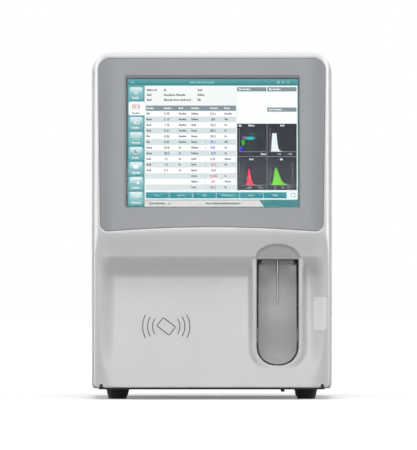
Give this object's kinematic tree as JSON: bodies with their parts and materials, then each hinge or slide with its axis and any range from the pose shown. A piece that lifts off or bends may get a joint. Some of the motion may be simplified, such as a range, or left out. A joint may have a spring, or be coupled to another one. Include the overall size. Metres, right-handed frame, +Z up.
{
  "type": "hematology analyzer",
  "caption": "Bench-top blood cell analyzer with a tilted touch screen, an open sampling bay with a hanging probe and a press-back key, and a hinged service door.",
  "frame": {"origin": "on the bench under the middle of the body", "axes": "+Z up, the screen and sampling bay face -Y, +X to the right of someone facing the screen"},
  "size_m": [0.3, 0.4, 0.433],
  "materials": {
    "housing_plastic": "moulded white ABS, fine satin",
    "bezel_plastic": "painted mid grey, satin",
    "key_plastic": "smooth silver grey",
    "screen_glass": "clear touch glass over a lit panel",
    "foot_rubber": "black moulded rubber",
    "black_plastic": "black moulded, fine texture",
    "painted_steel": "off-white powder coat",
    "plated_steel": "zinc plated sheet",
    "bright_steel": "ground and polished",
    "aluminium": "machined, clear anodised",
    "circuit_board": "green solder mask",
    "belt_rubber": "black timing belt",
    "clear_plastic": "translucent acrylic"
  },
  "bodies": {
    "housing": {"front_cover": "housing_plastic", "display_bezel": "bezel_plastic", "touch_glass": "screen_glass", "display_module": "aluminium", "key_hinge_pin": "bright_steel", "key_switch_bracket": "plated_steel", "key_switch": "black_plastic", "drip_spout": "foot_rubber", "card_reader_board": "circuit_board", "lift_bracket": "plated_steel", "guide_rod_left": "bright_steel", "guide_rod_right": "bright_steel", "rinse_block": "clear_plastic", "lift_belt": "belt_rubber", "lift_motor": "black_plastic", "top_cover": "painted_steel", "left_side_panel": "painted_steel", "base_tray": "painted_steel", "rear_panel": "painted_steel", "front_frame": "plated_steel", "partition_plate": "plated_steel", "front_left_foot": "foot_rubber", "front_right_foot": "foot_rubber", "rear_left_foot": "foot_rubber", "rear_right_foot": "foot_rubber", "fan_frame": "black_plastic", "power_inlet": "black_plastic", "power_switch_frame": "black_plastic", "port_plate": "plated_steel", "data_port_block": "plated_steel", "syringe_bracket": "aluminium", "syringe_motor": "black_plastic", "diluent_syringe_barrel": "clear_plastic", "lyse_syringe_barrel": "clear_plastic", "bath_shelf": "plated_steel", "white_cell_bath": "clear_plastic", "red_cell_bath": "clear_plastic", "waste_pump": "black_plastic", "bath_drain_tube": "clear_plastic", "vacuum_chamber": "clear_plastic", "valve_manifold": "clear_plastic", "sampling_valve_body": "painted_steel", "optics_housing": "black_plastic", "main_board": "circuit_board", "power_supply": "aluminium"},
    "start_key": {"aspirate_key": "key_plastic"},
    "plunger": {"switch_plunger": "black_plastic"},
    "probe_slider": {"probe_carriage": "black_plastic", "sample_probe": "bright_steel"},
    "upper_pulley": {"drive_pulley": "aluminium"},
    "lower_pulley": {"idler_pulley": "aluminium"},
    "service_door": {"right_side_door": "painted_steel"},
    "lock": {"door_lock": "plated_steel"},
    "rocker": {"power_rocker": "black_plastic"},
    "fan": {"fan_rotor": "black_plastic"},
    "syringe_slider": {"syringe_drive_plate": "aluminium", "diluent_plunger": "bright_steel", "lyse_plunger": "bright_steel"},
    "lead_screw": {"syringe_screw": "bright_steel"},
    "sampling_rotor": {"valve_rotor": "aluminium"}
  },
  "joints": [
    {"name": "aspirate_key_press", "type": "hinge", "parent": "housing", "child": "start_key", "pos_m": [0.082, -0.154, 0.186], "axis": [1, 0, 0], "range_deg": [0, 1.5], "stiffness_Nm_per_rad": 2, "springref_deg": -4.58},
    {"name": "switch_plunger_travel", "type": "slide", "parent": "housing", "child": "plunger", "axis": [0, 1, 0], "range_m": [0, 0.003]},
    {"name": "probe_lift", "type": "slide", "parent": "housing", "child": "probe_slider", "axis": [0, 0, 1], "range_m": [0, 0.06]},
    {"name": "drive_pulley_turn", "type": "hinge", "parent": "housing", "child": "upper_pulley", "pos_m": [0.112, -0.136, 0.315], "axis": [0, 1, 0], "range_deg": [0, 530]},
    {"name": "idler_pulley_turn", "type": "hinge", "parent": "housing", "child": "lower_pulley", "pos_m": [0.112, -0.136, 0.205], "axis": [0, 1, 0], "range_deg": [0, 530]},
    {"name": "service_door_swing", "type": "hinge", "parent": "housing", "child": "service_door", "pos_m": [0.1455, 0.184, 0.2], "axis": [0, 0, 1], "range_deg": [0, 110]},
    {"name": "door_lock_turn", "type": "hinge", "parent": "service_door", "child": "lock", "pos_m": [0.15, -0.115, 0.215], "axis": [1, 0, 0], "range_deg": [0, 90]},
    {"name": "power_rocker_tilt", "type": "hinge", "parent": "housing", "child": "rocker", "pos_m": [-0.058, 0.1858, 0.052], "axis": [1, 0, 0], "range_deg": [0, 14]},
    {"name": "fan_spin", "type": "hinge", "parent": "housing", "child": "fan", "pos_m": [-0.075, 0.175, 0.3], "axis": [0, 1, 0], "continuous": true},
    {"name": "syringe_drive", "type": "slide", "parent": "housing", "child": "syringe_slider", "axis": [0, 0, 1], "range_m": [0, 0.04]},
    {"name": "syringe_screw_turn", "type": "hinge", "parent": "housing", "child": "lead_screw", "pos_m": [0.05, 0.062, 0.1], "axis": [0, 0, 1], "range_deg": [0, 1810]},
    {"name": "sampling_valve_turn", "type": "hinge", "parent": "housing", "child": "sampling_rotor", "pos_m": [0.048, -0.078, 0.256], "axis": [1, 0, 0], "range_deg": [0, 60]}
  ],
  "couplings": [
    {"joint": "switch_plunger_travel", "follows": "aspirate_key_press", "m_per_rad": 0.106},
    {"joint": "drive_pulley_turn", "follows": "probe_lift", "rad_per_m": 151.51},
    {"joint": "idler_pulley_turn", "follows": "probe_lift", "rad_per_m": 151.51},
    {"joint": "syringe_screw_turn", "follows": "syringe_drive", "rad_per_m": 785.4}
  ]
}
